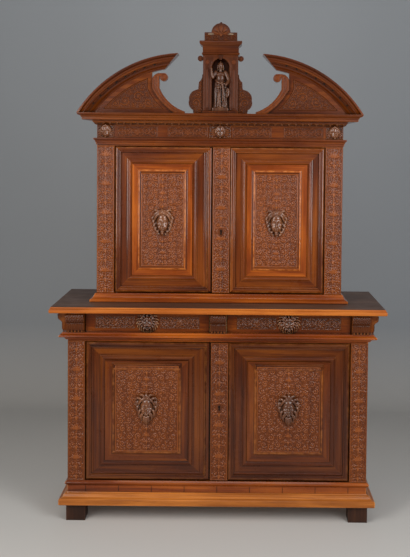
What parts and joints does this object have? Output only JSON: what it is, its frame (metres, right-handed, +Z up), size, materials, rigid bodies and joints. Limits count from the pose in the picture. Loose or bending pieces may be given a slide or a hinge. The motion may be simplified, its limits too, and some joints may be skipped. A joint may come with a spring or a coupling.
{
  "type": "two-stage cupboard",
  "caption": "Carved walnut cupboard in two stages, with hinged panelled doors, drawers under a table ledge, a deep cornice and a broken arched pediment with a figure in a niche.",
  "frame": {"origin": "on the floor, under the middle of the table ledge's outline", "axes": "+X to the right as seen from the front, +Y from the doors to the back, +Z up"},
  "size_m": [1.58, 0.58, 2.385],
  "materials": {
    "walnut": "waxed",
    "dark_walnut": "dark stain",
    "top_walnut": "waxed, worn",
    "oak": "planed, unfinished",
    "iron": "forged, dark"
  },
  "bodies": {
    "cupboard": {"architrave": "walnut", "base_frieze": "walnut", "base_moulding": "walnut", "cherub_heads": "walnut", "consoles": "walnut", "cornice": "walnut", "drawer_deck": "oak", "feet": "dark_walnut", "figurine": "walnut", "frieze": "walnut", "lower_back_panel": "oak", "lower_bottom_board": "oak", "lower_front_stiles": "walnut", "lower_shelf": "oak", "lower_side_left": "walnut", "lower_side_right": "walnut", "niche_case": "walnut", "niche_cornice": "walnut", "niche_crest": "walnut", "niche_scrolls": "walnut", "pediment_arches": "walnut", "pediment_scrolls": "walnut", "pediment_tympanums": "walnut", "table_top": "top_walnut", "upper_back_panel": "oak", "upper_boards": "oak", "upper_front_stiles": "walnut", "upper_plinth": "walnut", "upper_shelf": "oak", "upper_side_left": "walnut", "upper_side_right": "walnut", "waist_moulding": "walnut"},
    "drawer_left": {"drawer_left_front": "walnut", "drawer_left_box": "oak", "drawer_left_lion": "walnut"},
    "drawer_right": {"drawer_right_front": "walnut", "drawer_right_box": "oak", "drawer_right_lion": "walnut"},
    "lower_left_door": {"lower_door_left_frame": "walnut", "lower_door_left_panel": "walnut", "lower_door_left_mask": "walnut", "lower_door_left_irons": "iron"},
    "lower_right_door": {"lower_door_right_frame": "walnut", "lower_door_right_panel": "walnut", "lower_door_right_mask": "walnut", "lower_door_right_pilaster": "walnut", "lower_door_right_irons": "iron"},
    "lower_bolt_of_lock": {"lower_lock_bolt": "iron"},
    "lower_bolt_of_left_door": {"lower_slide_bolt": "iron"},
    "upper_left_door": {"upper_door_left_frame": "walnut", "upper_door_left_panel": "walnut", "upper_door_left_mask": "walnut", "upper_door_left_irons": "iron"},
    "upper_right_door": {"upper_door_right_frame": "walnut", "upper_door_right_panel": "walnut", "upper_door_right_mask": "walnut", "upper_door_right_pilaster": "walnut", "upper_door_right_irons": "iron"},
    "upper_bolt_of_lock": {"upper_lock_bolt": "iron"},
    "upper_bolt_of_left_door": {"upper_slide_bolt": "iron"}
  },
  "joints": [
    {"name": "lower_left_door_hinge", "type": "hinge", "parent": "cupboard", "child": "lower_left_door", "pos_m": [-0.6185, -0.204, 0.5275], "axis": [0, 0, -1], "range_deg": [0, 100]},
    {"name": "lower_right_door_hinge", "type": "hinge", "parent": "cupboard", "child": "lower_right_door", "pos_m": [0.6185, -0.204, 0.5275], "axis": [0, 0, 1], "range_deg": [0, 100]},
    {"name": "upper_left_door_hinge", "type": "hinge", "parent": "cupboard", "child": "upper_left_door", "pos_m": [-0.4965, -0.093, 1.432], "axis": [0, 0, -1], "range_deg": [0, 100]},
    {"name": "upper_right_door_hinge", "type": "hinge", "parent": "cupboard", "child": "upper_right_door", "pos_m": [0.4965, -0.093, 1.432], "axis": [0, 0, 1], "range_deg": [0, 100]},
    {"name": "drawer_left_slide", "type": "slide", "parent": "cupboard", "child": "drawer_left", "axis": [0, -1, 0], "range_m": [0, 0.34]},
    {"name": "drawer_right_slide", "type": "slide", "parent": "cupboard", "child": "drawer_right", "axis": [0, -1, 0], "range_m": [0, 0.34]},
    {"name": "lower_lock_bolt_slide", "type": "slide", "parent": "lower_right_door", "child": "lower_bolt_of_lock", "axis": [-1, 0, 0], "range_m": [0, 0.018]},
    {"name": "lower_slide_bolt_slide", "type": "slide", "parent": "lower_left_door", "child": "lower_bolt_of_left_door", "axis": [0, 0, 1], "range_m": [0, 0.02]},
    {"name": "upper_lock_bolt_slide", "type": "slide", "parent": "upper_right_door", "child": "upper_bolt_of_lock", "axis": [-1, 0, 0], "range_m": [0, 0.018]},
    {"name": "upper_slide_bolt_slide", "type": "slide", "parent": "upper_left_door", "child": "upper_bolt_of_left_door", "axis": [0, 0, 1], "range_m": [0, 0.02]}
  ]
}
